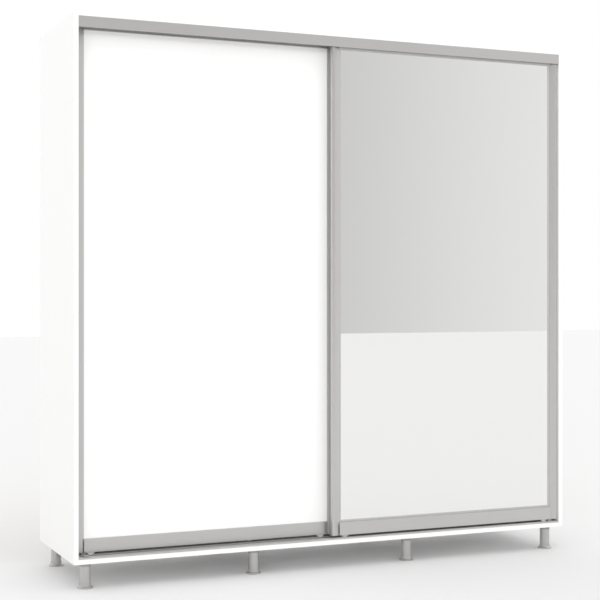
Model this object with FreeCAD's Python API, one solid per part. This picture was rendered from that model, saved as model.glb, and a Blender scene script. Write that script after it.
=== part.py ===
"""Two-door sliding wardrobe on eight levelling legs, every piece a solid of its own.

+Z is up, +X is to the right of somebody who faces the doors, and the doors face -Y.
The origin is on the floor under the middle of the wardrobe. All sizes are in millimetres.
"""
import FreeCAD, Part
import math
import os

Vector = FreeCAD.Vector
X, Y, Z = Vector(1, 0, 0), Vector(0, 1, 0), Vector(0, 0, 1)

# Whole wardrobe
width = 2200.0
depth = 580.0
height = 2200.0
leg_height = 100.0
board = 18.0
back_thickness, back_seam, back_reveal = 3.0, 0.5, 3.0
nail_head = 0.4

# Inside fittings
divider_x = 348.0
divider_setback = 95.0
shelf_setback = 105.0
shelf_back_gap = 2.0
shelf_side_gap = 0.5
shelf_count = 4
hat_space = 300.0
rail_drop = 55.0
rail_wide, rail_high, rail_wall = 15.0, 30.0, 1.2
rail_cup_wall = 3.0
rail_cup_length = 12.0
rail_cup_slack, rail_end_play = 0.3, 0.5
rail_flange = 2.0
rail_flange_high = 58.0
rail_screw_rise = 24.0
rail_depth = 340.0

# Fasteners
cam_radius, cam_deep, cam_setback = 7.5, 13.4, 34.0
cam_sink = 0.2
cam_slot_radius, cam_slot_half, cam_slot_deep = 1.2, 5.0, 1.0
joint_front_inset, joint_rear_inset, joint_stagger = 150.0, 90.0, 20.0
cam_bolt_radius, cam_bolt_bite = 3.5, 11.0
bore_slack = 0.05
pin_radius, pin_half_length = 2.5, 8.0
pin_inset = 60.0
screw_radius, screw_length = 1.75, 13.0
screw_head_radius, screw_head_high, screw_head_round = 3.5, 2.2, 1.3
screw_hole_radius = 2.0
nail_radius, nail_length, nail_head_radius = 0.8, 20.0, 3.0
nail_pitch, nail_end_gap, nail_edge = 250.0, 60.0, 4.5

# Tracks
fascia_low, fascia_lap, fascia_thick = 37.0, 5.0, 2.0
fascia_low_round, fascia_inner_round, fascia_top_round = 1.2, 0.7, 0.6
fascia_clearance = 0.2
track_wall = 1.5
track_middle_drop, track_middle_offset = 32.0, 2.0
track_end_gap = 0.3
lower_track_setback = 6.0
lower_track_high = 7.0
rib_half = 2.0
track_screw_count = 6
track_screw_inset = 80.0
track_screw_offset = 11.0
stop_length, stop_half, stop_high = 20.0, 6.0, 13.0
stop_gap, stop_round, stop_play = 1.5, 2.0, 0.1

# Door frames
door_depth = 30.0
front_door_setback = 8.0
track_pitch = 45.0
door_end_gap = 1.0
stile_wide = 35.0
door_bottom = 133.5
door_top = 2165.0
wall = 1.6
nose_wide = 12.0
nose_outer_round, nose_inner_round = 7.0, 3.0
scoop_across, scoop_deep, scoop_round = 22.0, 6.0, 25.0
rear_round, lip_round, flange_round = 1.0, 0.5, 0.6
groove_front, groove_gap, groove_deep = 11.1, 10.4, 8.0
brush_slot_front, brush_slot_rear, brush_slot_deep = 20.0, 27.0, 2.4
brush_stand = 0.7
brush_slack, brush_end_gap = 0.1, 1.0
bottom_rail_high, top_rail_high = 53.0, 20.0
rail_front, rail_rear = 4.0, 28.6
rail_front_round = 0.8

# Door infills
infill_play = 0.3
panel_thick = 10.0
mirror_thick = 4.0
gasket_bottom, gasket_lip = 1.5, 9.0
gasket_play, glass_play = 0.1, 0.02

# Door hardware
wheel_roll_radius, wheel_rim_radius, wheel_half = 15.0, 17.5, 4.0
wheel_groove_radius, wheel_lift, wheel_edge_round = 2.6, 0.2, 0.4
wheel_recess_inner, wheel_recess_outer, wheel_recess_deep = 7.0, 13.0, 1.5
wheel_inset = 28.0
axle_radius, axle_half, axle_clearance = 2.5, 9.5, 0.06
carrier_length, carrier_gap, carrier_rise = 56.0, 0.5, 0.5
carrier_slot_half, carrier_slot_long, carrier_slot_over, carrier_round = 4.5, 19.0, 2.0, 3.0
insert_play = 0.2
shoe_block_length, shoe_plate_length = 40.0, 60.0
shoe_plate_thick, shoe_round = 8.0, 8.0
shoe_play = 0.4
frame_screw_radius, frame_screw_bite = 2.0, 24.0
frame_head_radius, frame_head_high = 4.0, 3.0
frame_driver_hole, frame_screw_play = 4.5, 0.3
frame_screw_rise, frame_screw_drop = 34.5, 6.0

# Legs
outer_leg_inset, leg_inset = 57.0, 54.0
leg_radius, leg_wall = 21.0, 3.0
leg_plate_radius, leg_plate_thick, leg_web_thick = 21.5, 16.0, 4.0
plate_round, tube_round = 0.8, 0.5
spigot_radius, spigot_wall, spigot_high = 17.5, 3.0, 16.0
leg_tube_bottom = 14.0
boss_radius, boss_top = 8.0, 40.0
stud_radius, stud_top, stud_clearance = 5.0, 45.0, 0.06
leg_screw_circle = 8.0
foot_radius, foot_rim, foot_edge_round = 30.5, 4.0, 1.5
foot_floor, foot_collar_top, foot_neck = 3.5, 18.0, 9.5
foot_rim_round, foot_neck_round, collar_round, stud_round = 1.0, 4.0, 0.5, 1.0
collar_gap, collar_wall = 0.35, 1.55

# How far a cutting shape reaches past a face, and what a full round leaves of a flat
past, hair = 1.0, 0.01

# Places worked out from the sizes above
x_out = width / 2
x_in = x_out - board
y_front = -depth / 2
y_board_end = depth / 2 - nail_head - back_thickness
z_floor = leg_height + board
z_roof = height - board
door_overlap = stile_wide
door_wide = (2 * x_in - 2 * door_end_gap + door_overlap) / 2
door_travel = 2 * x_in - 2 * door_end_gap - door_wide
front_door_y = y_front + front_door_setback
rear_door_y = front_door_y + track_pitch
channel_middle = (rail_front + rail_rear) / 2
wheel_z = z_floor + lower_track_high + wheel_roll_radius
infill_edge = stile_wide - groove_deep + infill_play
infill_low = door_bottom + bottom_rail_high - groove_deep + infill_play
infill_high = door_top - top_rail_high + groove_deep - infill_play
shelf_spacing = (z_roof - z_floor - shelf_count * board) / (shelf_count + 1) + board
hat_shelf_z = z_roof - hat_space - board
hanging_rail_z = hat_shelf_z - rail_drop
bays = {
    "left": (-x_in, -divider_x - board / 2),
    "middle": (-divider_x + board / 2, divider_x - board / 2),
    "right": (divider_x + board / 2, x_in),
}


# ---------------------------------------------------------------- shape helpers
def box(x0, x1, y0, y1, z0, z1):
    return Part.makeBox(x1 - x0, y1 - y0, z1 - z0, Vector(x0, y0, z0))


def rod(radius, start, end):
    along = end - start
    return Part.makeCylinder(radius, along.Length, start, along)


def outline(corners, place):
    """A closed wire through corners (a, b, radius); place turns (a, b) into a point."""
    arcs = []
    for i, (a, b, radius) in enumerate(corners):
        here = Vector(a, b, 0)
        back = (Vector(*corners[i - 1][:2], 0) - here).normalize()
        ahead = (Vector(*corners[(i + 1) % len(corners)][:2], 0) - here).normalize()
        if radius == 0:
            arcs.append([here])
            continue
        half = back.getAngle(ahead) / 2
        run = radius / math.tan(half)
        inward = (back + ahead).normalize()
        crown = here + inward * (radius / math.sin(half) - radius)
        arcs.append([here + back * run, crown, here + ahead * run])
    edges = []
    for i, arc in enumerate(arcs):
        points = [place(p.x, p.y) for p in arc]
        following = arcs[(i + 1) % len(arcs)][0]
        target = place(following.x, following.y)
        if len(points) == 3:
            edges.append(Part.Arc(*points).toShape())
        if not points[-1].isEqual(target, 1e-6):
            edges.append(Part.LineSegment(points[-1], target).toShape())
    return Part.Wire(edges)


def prism(corners, place, along):
    """A solid with the rounded outline as its section and the vector along as its length."""
    return Part.Face(outline(corners, place)).extrude(along)


def turned(corners, centre, axis_y=False):
    """A solid of revolution: corners are (radius, height) about Z, or about Y on a wheel."""
    def place(r, h):
        return centre + (X * r + Y * h if axis_y else X * r + Z * h)
    face = Part.Face(outline([(r, h, round_by) for r, h, round_by in corners], place))
    return face.revolve(centre, Y if axis_y else Z, 360)


def cut_all(shape, tools):
    return shape.cut(list(tools)) if tools else shape


def mirrored_x(shape):
    return shape.mirror(Vector(0, 0, 0), X)


# ---------------------------------------------------------------- fasteners
def wood_screw(seat, into):
    """A pan-head screw whose head sits on the point seat and which bites along into."""
    head = rod(screw_head_radius, seat - into * screw_head_high, seat)
    rim = [e for e in head.Edges if e.CenterOfMass.sub(seat - into * screw_head_high).Length < 0.1]
    head = head.makeFillet(screw_head_round, rim)
    shank = rod(screw_radius, seat, seat + into * (screw_length - screw_radius * 2))
    tip = Part.makeCone(screw_radius, 0, screw_radius * 2, shank_end(seat, into), into)
    return head.fuse([shank, tip]).removeSplitter()


def shank_end(seat, into):
    return seat + into * (screw_length - screw_radius * 2)


class CamJoint:
    """A cam lock set in one board that pulls a bolt fixed in another board."""

    def __init__(self, carrier, receiver, point, inward, face):
        self.carrier, self.receiver = carrier, receiver
        surface = point + inward * cam_setback + face * (board / 2)
        bolt_start = point - inward * cam_bolt_bite
        bolt_end = point + inward * cam_setback
        self.bolt = rod(cam_bolt_radius, bolt_start, bolt_end)
        self.bolt_bore = rod(cam_bolt_radius + bore_slack, bolt_start, bolt_end)
        sunk = surface - face * cam_sink
        disc = rod(cam_radius - bore_slack, surface - face * cam_deep, sunk)
        self.cam_bore = rod(cam_radius, surface - face * (cam_deep + bore_slack), surface)
        floor = sunk - face * cam_slot_deep
        slot = rod(cam_slot_radius, floor - inward * cam_slot_half, floor + inward * cam_slot_half)
        self.cam = disc.cut([self.bolt_bore, slot])


def cam_joints():
    """Every cam joint of the carcass: roof and floor to the sides, dividers and hat shelves."""
    joints = []
    ys = (y_front + joint_front_inset, y_board_end - joint_rear_inset)
    for y in ys:
        for side, sign in (("side_panel_left", -1), ("side_panel_right", 1)):
            edge, inward = sign * x_in, X * -sign
            joints.append(CamJoint("top_panel", side, Vector(edge, y, z_roof + board / 2), inward, -Z))
            joints.append(CamJoint("bottom_panel", side, Vector(edge, y, z_floor - board / 2), inward, Z))
        for name, sign in (("divider_left", -1), ("divider_right", 1)):
            centre = sign * divider_x
            joints.append(CamJoint(name, "top_panel", Vector(centre, y, z_roof), -Z, X * sign))
            joints.append(CamJoint(name, "bottom_panel", Vector(centre, y, z_floor), Z, X * sign))
        joints += hat_shelf_joints(y)
    return joints


def hat_shelf_joints(y):
    level = hat_shelf_z + board / 2
    neighbours = {
        "middle": ("divider_left", "divider_right"),
        "right": ("divider_right", "side_panel_right"),
    }
    joints = []
    for bay, (left, right) in neighbours.items():
        x0, x1 = bays[bay]
        offset = joint_stagger if bay == "right" else 0
        shelf = "hat_shelf_" + bay
        joints.append(CamJoint(shelf, left, Vector(x0, y + offset, level), X, -Z))
        joints.append(CamJoint(shelf, right, Vector(x1, y + offset, level), -X, -Z))
    return joints


# ---------------------------------------------------------------- carcass boards
def side_panel(sign):
    inner, outer = sorted((sign * x_in, sign * x_out))
    return box(inner, outer, y_front, y_board_end, leg_height, height)


def carcass_boards():
    roof_front = y_front + fascia_thick + fascia_clearance
    boards = {
        "side_panel_left": side_panel(-1),
        "side_panel_right": side_panel(1),
        "top_panel": box(-x_in, x_in, roof_front, y_board_end, z_roof, height),
        "bottom_panel": box(-x_in, x_in, y_front, y_board_end, leg_height, z_floor),
    }
    for name, sign in (("divider_left", -1), ("divider_right", 1)):
        x = sign * divider_x
        front = y_front + divider_setback
        boards[name] = box(x - board / 2, x + board / 2, front, y_board_end, z_floor, z_roof)
    for bay in ("middle", "right"):
        boards["hat_shelf_" + bay] = shelf(bay, hat_shelf_z, 0)
    for i in range(shelf_count):
        boards[f"shelf_left_{i + 1}"] = shelf("left", left_shelf_z(i), shelf_side_gap)
    return boards


def left_shelf_z(i):
    return z_floor + shelf_spacing * (i + 1) - board


def shelf(bay, z, side_gap):
    x0, x1 = bays[bay]
    y0, y1 = y_front + shelf_setback, y_board_end - shelf_back_gap
    return box(x0 + side_gap, x1 - side_gap, y0, y1, z, z + board)


def shelf_pins():
    """Pins under the four loose shelves, as (board that holds it, pin)."""
    pins = []
    x0, x1 = bays["left"]
    ys = (y_front + shelf_setback + pin_inset, y_board_end - pin_inset)
    for i in range(shelf_count):
        z = left_shelf_z(i) - pin_radius - bore_slack
        for y in ys:
            for holder, x in (("side_panel_left", x0), ("divider_left", x1)):
                ends = (Vector(x - pin_half_length, y, z), Vector(x + pin_half_length, y, z))
                pins.append((holder, rod(pin_radius, *ends), rod(pin_radius + bore_slack, *ends)))
    return pins


def back_sheets():
    edges = (-x_out + back_reveal, -divider_x, divider_x, x_out - back_reveal)
    sheets = {}
    for i, bay in enumerate(("left", "middle", "right")):
        x0 = edges[i] + (back_seam if i else 0)
        x1 = edges[i + 1] - (back_seam if i < 2 else 0)
        low, high = leg_height + back_reveal, height - back_reveal
        sheets["back_sheet_" + bay] = box(x0, x1, y_board_end, y_board_end + back_thickness, low, high)
    return sheets


def back_nails():
    """Nails through the back sheets into the rear edges of the boards."""
    nails = []
    rows = (-x_out + board / 2, -divider_x - nail_edge, -divider_x + nail_edge)
    rows += tuple(-x for x in rows)
    count = int((height - leg_height) // nail_pitch)
    for x in rows:
        for i in range(count + 1):
            z = leg_height + nail_end_gap + i * (height - leg_height - 2 * nail_end_gap) / count
            nails.append(nail(x, z))
    for bay, (x0, x1) in bays.items():
        for x in ((2 * x0 + x1) / 3, (x0 + 2 * x1) / 3):
            nails += [nail(x, z_floor - board / 2), nail(x, z_roof + board / 2)]
    return nails


def nail(x, z):
    face = Vector(x, y_board_end + back_thickness, z)
    shank = rod(nail_radius, face - Y * nail_length, face)
    return shank.fuse(rod(nail_head_radius, face, face + Y * nail_head)).removeSplitter()


# ---------------------------------------------------------------- hanging rails
def oval(wide, high, x0, x1, y, z):
    half = wide / 2 - hair / 10
    corners = [(-wide / 2, -high / 2, half), (wide / 2, -high / 2, half),
               (wide / 2, high / 2, half), (-wide / 2, high / 2, half)]
    return prism(corners, lambda a, b: Vector(x0, y + a, z + b), X * (x1 - x0))


def hanging_rail(bay):
    x0, x1 = bays[bay]
    x0, x1 = x0 + rail_flange + rail_end_play, x1 - rail_flange - rail_end_play
    y = y_front + rail_depth
    tube = oval(rail_wide, rail_high, x0, x1, y, hanging_rail_z)
    bore = oval(rail_wide - 2 * rail_wall, rail_high - 2 * rail_wall, x0, x1, y, hanging_rail_z)
    return tube.cut(bore)


def rail_socket(x, sign):
    """An end cup on the board face at x; sign is +1 where the rail leaves it along +X."""
    y, z = y_front + rail_depth, hanging_rail_z
    wide, high = rail_wide + 2 * rail_cup_wall, rail_high + 2 * rail_cup_wall
    ends = sorted((x, x + sign * rail_cup_length))
    cup = oval(wide, high, *ends, y, z)
    plate = oval(wide, rail_flange_high + wide / 3, *sorted((x, x + sign * rail_flange)), y, z)
    pocket_ends = sorted((x + sign * rail_flange, x + sign * rail_cup_length))
    pocket = oval(rail_wide + rail_cup_slack, rail_high + rail_cup_slack, *pocket_ends, y, z)
    seats = [Vector(x + sign * rail_flange, y, z + s) for s in (-rail_screw_rise, rail_screw_rise)]
    holes = [rod(screw_hole_radius, seat - X * sign * rail_flange, seat) for seat in seats]
    screws = [wood_screw(seat, X * -sign) for seat in seats]
    return cup.fuse(plate).cut([pocket] + holes), screws


# ---------------------------------------------------------------- tracks
def track_screw_places():
    reach = x_in - track_screw_inset
    return [-reach + 2 * reach * i / (track_screw_count - 1) for i in range(track_screw_count)]


def top_track():
    """Double channel under the roof, with a fascia that laps the roof's front edge."""
    low = z_roof - fascia_low
    mid = z_roof - track_middle_drop
    middle_wall = front_door_setback + channel_middle - rail_front + track_pitch / 2
    middle_wall += track_middle_offset
    rear_wall = middle_wall + track_pitch
    plate = z_roof - track_wall
    tip = track_wall / 2 - hair
    crest = z_roof + fascia_lap
    corners = [
        (0, low, fascia_low_round), (0, crest, fascia_top_round), (fascia_thick, crest, fascia_top_round),
        (fascia_thick, z_roof, 0), (rear_wall + track_wall, z_roof, 0),
        (rear_wall + track_wall, low, tip), (rear_wall, low, tip), (rear_wall, plate, 0),
        (middle_wall + track_wall, plate, 0), (middle_wall + track_wall, mid, tip),
        (middle_wall, mid, tip), (middle_wall, plate, 0),
        (fascia_thick, plate, 0), (fascia_thick, low, fascia_inner_round),
    ]
    end = x_in - track_end_gap
    body = prism(corners, lambda d, z: Vector(-end, y_front + d, z), X * (2 * end))
    channels = ((fascia_thick, middle_wall), (middle_wall + track_wall, rear_wall))
    holes, screws = [], []
    for front, rear in channels:
        y = y_front + (front + rear) / 2
        for x in track_screw_places():
            seat = Vector(x, y, plate)
            holes.append(rod(screw_hole_radius, seat - Z * past, seat + Z * (track_wall + past)))
            screws.append(wood_screw(seat, Z))
    return body.cut(holes), screws, channels


def rib_lines():
    first = front_door_setback + channel_middle
    return first, first + track_pitch


def bottom_track():
    """Low double rail with a round-topped rib for each door's wheels."""
    top = z_floor + lower_track_high
    deck = z_floor + track_wall
    first, second = rib_lines()
    front = lower_track_setback
    rear = second + first - front
    tip, crown = track_wall / 2 - hair, rib_half - hair
    corners = [(front, z_floor, 0), (rear, z_floor, 0), (rear, top, tip),
               (rear - track_wall, top, tip), (rear - track_wall, deck, 0)]
    for rib in (second, first):
        corners += [(rib + rib_half, deck, 0), (rib + rib_half, top, crown),
                    (rib - rib_half, top, crown), (rib - rib_half, deck, 0)]
    corners += [(front + track_wall, deck, 0), (front + track_wall, top, tip), (front, top, tip)]
    end = x_in - track_end_gap
    body = prism(corners, lambda d, z: Vector(-end, y_front + d, z), X * (2 * end))
    holes, screws = [], []
    for rib in (first, second):
        for x in track_screw_places():
            seat = Vector(x, y_front + rib + track_screw_offset, deck)
            holes.append(rod(screw_hole_radius, seat - Z * (track_wall + past), seat + Z * past))
            screws.append(wood_screw(seat, -Z))
    return body.cut(holes), screws


def door_stops():
    """Blocks clipped over the ribs where each door's outer wheel comes to rest."""
    last_wheel = x_in - door_end_gap - stile_wide - carrier_gap - wheel_inset
    x0 = last_wheel + wheel_rim_radius + stop_gap
    deck = z_floor + track_wall
    blocks = []
    for rib in rib_lines():
        y = y_front + rib
        block = box(x0, x0 + stop_length, y - stop_half, y + stop_half, deck, z_floor + stop_high)
        upright = [e for e in block.Edges if abs(e.tangentAt(e.FirstParameter).z) > 0.9]
        block = block.makeFillet(stop_round, upright)
        slot = box(x0 - past, x0 + stop_length + past, y - rib_half - stop_play, y + rib_half + stop_play,
                   deck - past, z_floor + lower_track_high + stop_play)
        block = block.cut(slot)
        blocks += [block, mirrored_x(block)]
    return blocks


# ---------------------------------------------------------------- door frame
def stile(edge, sign, y_nose):
    """Handle profile; edge is the door's outer edge and sign points into the door."""
    lip_rear = groove_front + groove_gap
    floor = groove_front - wall
    web = stile_wide - groove_deep
    section = [
        (0, door_depth, rear_round), (0, brush_slot_rear, 0), (brush_slot_deep, brush_slot_rear, 0),
        (brush_slot_deep, brush_slot_front, 0), (0, brush_slot_front, 0),
        (0, 0, nose_outer_round), (nose_wide, 0, nose_inner_round),
        (scoop_across, scoop_deep, scoop_round), (stile_wide, floor, lip_round),
        (stile_wide, groove_front, 0), (web, groove_front, 0), (web, lip_rear, 0),
        (stile_wide, lip_rear, 0), (stile_wide, lip_rear + wall, lip_round),
        (web, lip_rear + wall, 0), (web, door_depth, rear_round),
    ]
    slot_wall = brush_slot_deep + wall
    chamber = [
        (slot_wall, door_depth - wall, 0), (slot_wall, brush_slot_front - wall, 0),
        (wall, brush_slot_front - wall, 0), (wall, wall, nose_outer_round - wall),
        (nose_wide - wall, wall, nose_inner_round - wall), (scoop_across - wall, scoop_deep + wall, 0),
        (web - wall, floor - wall / 2, 0), (web - wall, door_depth - wall, 0),
    ]
    length = Z * (door_top - door_bottom)

    def place(u, v):
        return Vector(edge + sign * u, y_nose + v, door_bottom)
    profile = prism(section, place, length).cut(prism(chamber, place, length))
    holes = []
    for z in frame_screw_heights():
        outside = Vector(edge - sign * past, y_nose + channel_middle, z)
        inside = outside + X * sign * (stile_wide + 2 * past)
        holes.append(rod(frame_driver_hole, outside, outside + X * sign * (web - 2 * wall)))
        holes.append(rod(frame_screw_radius + frame_screw_play, outside, inside))
    return profile.cut(holes)


def frame_screw_heights():
    return door_bottom + frame_screw_rise, door_top - frame_screw_drop


def rail(x0, x1, y_nose, z_inner, away, high):
    """Crosswise profile; z_inner is its edge next to the infill and away points from it."""
    lip_rear = groove_front + groove_gap
    section = [
        (rail_front, 0, rail_front_round), (groove_front, 0, lip_round),
        (groove_front, groove_deep, 0), (lip_rear, groove_deep, 0), (lip_rear, 0, 0),
        (lip_rear + wall, 0, 0), (lip_rear + wall, groove_deep, 0), (rail_rear, groove_deep, 0),
        (rail_rear, high, flange_round), (rail_rear - wall, high, flange_round),
        (rail_rear - wall, groove_deep + wall, 0), (rail_front + wall, groove_deep + wall, 0),
        (rail_front + wall, high, flange_round), (rail_front, high, rail_front_round),
    ]
    lip = groove_front - wall
    chamber = [(rail_front + wall, wall, 0), (lip, wall, 0),
               (lip, groove_deep, 0), (rail_front + wall, groove_deep, 0)]

    def place(v, h):
        return Vector(x0, y_nose + v, z_inner + away * h)
    length = X * (x1 - x0)
    return prism(section, place, length).cut(prism(chamber, place, length))


def frame_screw(edge, sign, y_nose, z):
    seat = Vector(edge + sign * (stile_wide - groove_deep - wall), y_nose + channel_middle, z)
    into = X * sign
    reach = groove_deep + wall + frame_screw_bite
    head = rod(frame_head_radius, seat - into * frame_head_high, seat)
    head = head.cut(rod(frame_screw_radius, seat - into * frame_head_high, seat - into))
    return head.fuse(rod(frame_screw_radius, seat, seat + into * reach)).removeSplitter()


def brush_strip(edge, sign, y_nose):
    """A pile strip in the side slot of a stile, which stands a little proud of it."""
    x0, x1 = sorted((edge - sign * brush_stand, edge + sign * (brush_slot_deep - brush_slack)))
    y0 = y_nose + brush_slot_front + brush_slack
    y1 = y_nose + brush_slot_rear - brush_slack
    return box(x0, x1, y0, y1, door_bottom + brush_end_gap, door_top - brush_end_gap)


# ---------------------------------------------------------------- door hardware
def wheel(x, y):
    """A grooved wheel moulded on its axle, which turns in the carrier."""
    rim, half, groove = wheel_rim_radius, wheel_half, wheel_groove_radius
    corners = [(0, -half, 0), (rim, -half, wheel_edge_round), (rim, half, wheel_edge_round),
               (0, half, 0)]
    centre = Vector(x, y, wheel_z)
    tyre = turned(corners, centre, axis_y=True)
    ring = Part.makeTorus(wheel_roll_radius - wheel_lift + groove, groove, centre, Y)
    ring_in, ring_out, ring_floor = wheel_recess_inner, wheel_recess_outer, half - wheel_recess_deep
    recess = turned([(ring_in, ring_floor, 0), (ring_out, ring_floor, 0), (ring_out, half + past, 0),
                     (ring_in, half + past, 0)], centre, axis_y=True)
    other_recess = recess.mirror(centre, Y)
    axle = rod(axle_radius, centre - Y * axle_half, centre + Y * axle_half)
    return tyre.cut([ring, recess, other_recess]).fuse(axle).removeSplitter()


def wheel_carrier(edge, sign, y_nose):
    """Housing in the end of the bottom rail that holds one wheel and the corner screw."""
    x0 = edge + sign * (stile_wide + carrier_gap)
    y = y_nose + channel_middle
    half = (rail_rear - rail_front) / 2 - wall - insert_play
    top = door_bottom + bottom_rail_high - groove_deep - wall - insert_play
    ends = sorted((x0, x0 + sign * carrier_length))
    body = box(*ends, y - half, y + half, door_bottom + carrier_rise, top)
    edges = [e for e in body.Edges if abs(e.tangentAt(e.FirstParameter).y) > 0.9]
    body = body.makeFillet(carrier_round, edges)
    centre = Vector(x0 + sign * wheel_inset, y, wheel_z)
    slot = box(centre.x - carrier_slot_long, centre.x + carrier_slot_long,
               y - carrier_slot_half, y + carrier_slot_half,
               door_bottom - past, wheel_z + wheel_rim_radius + carrier_slot_over)
    reach = Y * (half + past)
    bore = rod(axle_radius + axle_clearance, centre - reach, centre + reach)
    return body.cut([slot, bore]), centre


def guide_shoe(edge, sign, y_nose, channel):
    """Nylon glide on the top rail that slides between the walls of its channel."""
    x0 = edge + sign * (stile_wide + carrier_gap)
    y = y_nose + channel_middle
    half = (rail_rear - rail_front) / 2 - wall - insert_play
    low = door_top - top_rail_high + groove_deep + wall + insert_play
    block = box(*sorted((x0, x0 + sign * shoe_block_length)), y - half, y + half, low, door_top)
    y0, y1 = y_front + channel[0] + shoe_play, y_front + channel[1] - shoe_play
    plate = box(*sorted((x0, x0 + sign * shoe_plate_length)), y0, y1,
                door_top, door_top + shoe_plate_thick)
    upright = [e for e in plate.Edges if abs(e.tangentAt(e.FirstParameter).z) > 0.9]
    return block.fuse(plate.makeFillet(shoe_round, upright)).removeSplitter()


# ---------------------------------------------------------------- door infills
def infill(x0, x1, y, thick, inset=0.0):
    return box(x0 + infill_edge + inset, x1 - infill_edge - inset, y, y + thick,
               infill_low + inset, infill_high - inset)


def board_infill(x0, x1, y_nose):
    y = y_nose + groove_front + (groove_gap - panel_thick) / 2
    return {"panel": infill(x0, x1, y, panel_thick)}


def mirror_infill(x0, x1, y_nose):
    """A mirror in a soft U-section gasket that fills the groove of the frame."""
    middle = y_nose + groove_front + groove_gap / 2
    mirror_y = middle - mirror_thick / 2
    glass = infill(x0, x1, mirror_y, mirror_thick, gasket_bottom)
    gasket_thick = groove_gap - 2 * gasket_play
    ring = infill(x0, x1, middle - gasket_thick / 2, gasket_thick)
    window_inset = groove_deep - infill_play + gasket_lip
    window = infill(x0, x1, middle - gasket_thick, 2 * gasket_thick, window_inset)
    pocket = infill(x0, x1, mirror_y - glass_play, mirror_thick + 2 * glass_play, gasket_bottom)
    return {"mirror": glass, "gasket": ring.cut([window, pocket])}


def door(name, x0, y_nose, channel, make_infill):
    """All nodes of one door whose left edge is at x0."""
    x1 = x0 + door_wide
    inner = (x0 + stile_wide, x1 - stile_wide)
    sides = ((x0, 1), (x1, -1))
    carriers = [wheel_carrier(edge, sign, y_nose) for edge, sign in sides]
    screws = [frame_screw(edge, sign, y_nose, z) for edge, sign in sides
              for z in frame_screw_heights()]
    nodes = {
        "stile_left": stile(x0, 1, y_nose),
        "stile_right": stile(x1, -1, y_nose),
        "bottom_rail": rail(*inner, y_nose, door_bottom + bottom_rail_high, -1, bottom_rail_high),
        "top_rail": rail(*inner, y_nose, door_top - top_rail_high, 1, top_rail_high),
        "frame_screws": screws,
        "brush_strips": [brush_strip(edge, sign, y_nose) for edge, sign in sides],
        "wheel_carriers": [carrier for carrier, centre in carriers],
        "guide_shoes": [guide_shoe(edge, sign, y_nose, channel) for edge, sign in sides],
    }
    for i, (carrier, centre) in enumerate(carriers):
        nodes[f"wheel_{i + 1}"] = wheel(centre.x, centre.y)
    nodes.update(make_infill(x0, x1, y_nose))
    return {f"{name}_{key}": shape for key, shape in nodes.items()}


# ---------------------------------------------------------------- legs
def leg_places():
    """Leg centres by name: four along the front and four along the rear."""
    outer = x_out - outer_leg_inset
    xs = (-outer, -divider_x, divider_x, outer)
    rows = (("front", y_front + leg_inset), ("rear", depth / 2 - leg_inset))
    return {f"{row}_{i + 1}": Vector(x, y, 0) for row, y in rows for i, x in enumerate(xs)}


def leg_screw_places(centre):
    turns = [math.radians(90 + 120 * i) for i in range(3)]
    web = leg_height - leg_web_thick
    return [centre + Vector(math.cos(a), math.sin(a), 0) * leg_screw_circle + Z * web for a in turns]


def leg_plate(centre):
    plate, web = leg_height - leg_plate_thick, leg_height - leg_web_thick
    spigot = plate - spigot_high
    inner = spigot_radius - spigot_wall
    corners = [(0, leg_height, 0), (leg_plate_radius, leg_height, 0), (leg_plate_radius, plate, plate_round),
               (spigot_radius, plate, 0), (spigot_radius, spigot, plate_round),
               (inner, spigot, plate_round),
               (inner, web, 0), (0, web, 0)]
    holes = [rod(screw_hole_radius, p - Z * past, p + Z * (leg_web_thick + past))
             for p in leg_screw_places(centre)]
    return turned(corners, centre).cut(holes)


def leg_tube(centre):
    """Tube with a threaded boss inside its lower end, closed by a thin floor."""
    top, bottom = leg_height - leg_plate_thick, leg_tube_bottom
    inner, bore = leg_radius - leg_wall, stud_radius + stud_clearance
    floor = bottom + leg_wall
    corners = [(bore, bottom, 0), (leg_radius, bottom, tube_round), (leg_radius, top, 0), (inner, top, 0),
               (inner, floor, 0), (boss_radius, floor, 0), (boss_radius, boss_top, 0),
               (bore, boss_top, 0)]
    return turned(corners, centre)


def levelling_foot(centre):
    """Flared foot with a collar around the tube and a stud that screws into its boss."""
    collar_in = leg_radius + collar_gap
    collar_out = collar_in + collar_wall
    corners = [(0, 0, 0), (foot_radius, 0, foot_edge_round), (foot_radius, foot_rim, foot_rim_round),
               (collar_out, foot_neck, foot_neck_round), (collar_out, foot_collar_top, collar_round),
               (collar_in, foot_collar_top, collar_round), (collar_in, foot_floor, 0),
               (stud_radius, foot_floor, 0), (stud_radius, stud_top, stud_round), (0, stud_top, 0)]
    return turned(corners, centre)


# ---------------------------------------------------------------- assembly
def carcass():
    nodes = carcass_boards()
    cams, pins = cam_joints(), shelf_pins()
    for name in list(nodes):
        tools = [j.cam_bore for j in cams if j.carrier == name]
        tools += [j.bolt_bore for j in cams if name in (j.carrier, j.receiver)]
        tools += [bore for holder, pin, bore in pins if holder == name]
        nodes[name] = cut_all(nodes[name], tools)
    nodes.update(back_sheets())
    nodes["back_nails"] = back_nails()
    nodes["cam_locks"] = [j.cam for j in cams]
    nodes["cam_bolts"] = [j.bolt for j in cams]
    nodes["shelf_pins"] = [pin for holder, pin, bore in pins]
    return nodes


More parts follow.
